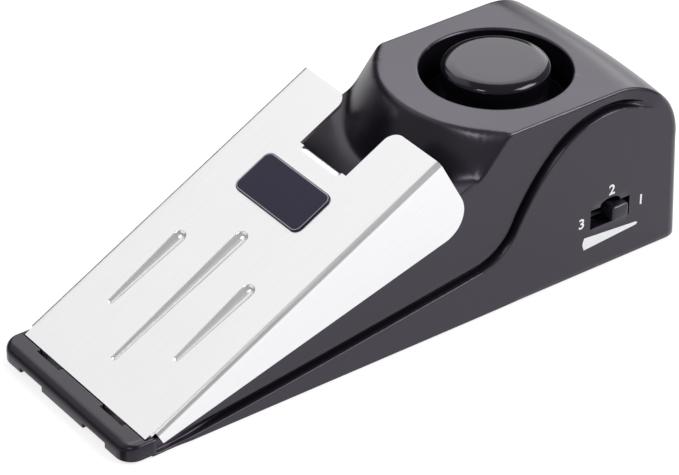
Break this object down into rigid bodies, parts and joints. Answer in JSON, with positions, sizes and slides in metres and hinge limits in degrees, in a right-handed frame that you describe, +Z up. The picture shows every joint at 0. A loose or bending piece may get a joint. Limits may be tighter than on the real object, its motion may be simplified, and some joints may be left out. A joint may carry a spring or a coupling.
{
  "type": "door stop alarm",
  "caption": "Free-standing wedge door stop alarm: black housing with a siren in its deck, a sprung steel pressure plate hinged at the nose, and a slide switch on each side.",
  "frame": {"origin": "centre of the footprint, on the floor the rubber grips stand on", "axes": "+Z up, +Y from the nose towards the rear wall, +X towards the side with the sensitivity switch"},
  "size_m": [0.0506, 0.1452, 0.0444],
  "materials": {
    "black_abs": "fine satin grain, glossy in the recesses",
    "inner_abs": "plain moulded",
    "stainless": "fine satin rolled finish",
    "badge": "smooth, dark blue-black",
    "screw_steel": "zinc plated",
    "spring_steel": "drawn wire",
    "brass": "rolled sheet",
    "tinned": "tinned sheet",
    "rubber": "matt",
    "board": "green solder resist",
    "ceramic": "silvered ceramic",
    "jacket": "printed metal jacket, left bare",
    "chip": "moulded epoxy",
    "red_wire": "PVC sleeve",
    "black_wire": "PVC sleeve",
    "foam": "open foam"
  },
  "bodies": {
    "housing": {"upper_housing": "black_abs", "siren_cap": "black_abs", "piezo_disc": "brass", "piezo_ceramic": "ceramic", "piezo_retainer": "inner_abs", "retainer_screw_left": "screw_steel", "retainer_screw_right": "screw_steel", "sensitivity_switch": "tinned", "power_switch": "tinned", "plate_spring": "spring_steel", "circuit_board": "board", "contact_foot": "brass", "contact_post": "brass", "controller_chip": "chip", "boost_coil": "chip", "capacitor": "jacket", "drive_transistor": "chip", "vibration_sensor": "tinned", "board_screw_front": "screw_steel", "board_screw_rear": "screw_steel", "battery_lead_red": "red_wire", "battery_lead_black": "black_wire", "piezo_lead_red": "red_wire", "piezo_lead_black": "black_wire", "sensitivity_lead": "red_wire", "power_lead": "black_wire", "base_cover": "inner_abs", "grip_mat": "rubber", "grip_strip_left": "rubber", "grip_strip_right": "rubber", "base_screw_front_left": "screw_steel", "base_screw_front_right": "screw_steel", "base_screw_rear_left": "screw_steel", "base_screw_rear_right": "screw_steel", "battery": "jacket", "battery_stud_positive": "tinned", "battery_stud_negative": "tinned", "snap_connector": "inner_abs"},
    "plate": {"pressure_plate": "stainless", "plate_badge": "badge"},
    "plunger": {"trigger_plunger": "inner_abs"},
    "blade": {"contact_blade": "brass"},
    "sensitivity": {"sensitivity_knob": "black_abs"},
    "power": {"power_knob": "black_abs"},
    "door": {"battery_door": "inner_abs", "battery_foam": "foam"}
  },
  "joints": [
    {"name": "plate_press", "type": "hinge", "parent": "housing", "child": "plate", "pos_m": [0, -0.0677, 0.0026], "axis": [-1, 0, 0], "range_deg": [0, 6], "stiffness_Nm_per_rad": 1.25, "springref_deg": -3.21, "deforming": ["plate_spring"]},
    {"name": "plunger_press", "type": "slide", "parent": "housing", "child": "plunger", "axis": [0, 0.4258, -0.9048], "range_m": [0, 0.00341]},
    {"name": "blade_bend", "type": "hinge", "parent": "housing", "child": "blade", "pos_m": [0.0062, -0.0206, 0.00615], "axis": [1, 0, 0], "range_deg": [0, 10.75]},
    {"name": "sensitivity_slide", "type": "slide", "parent": "housing", "child": "sensitivity", "axis": [0, -1, 0], "range_m": [0, 0.0042]},
    {"name": "power_slide", "type": "slide", "parent": "housing", "child": "power", "axis": [0, -1, 0], "range_m": [0, 0.003]},
    {"name": "door_open", "type": "hinge", "parent": "housing", "child": "door", "pos_m": [0, 0.0115, 0.0004], "axis": [-1, 0, 0], "range_deg": [0, 60]}
  ],
  "couplings": [
    {"joint": "plunger_press", "follows": "plate_press", "m_per_rad": 0.032533},
    {"joint": "blade_bend", "follows": "plate_press", "ratio": 1.7916}
  ]
}
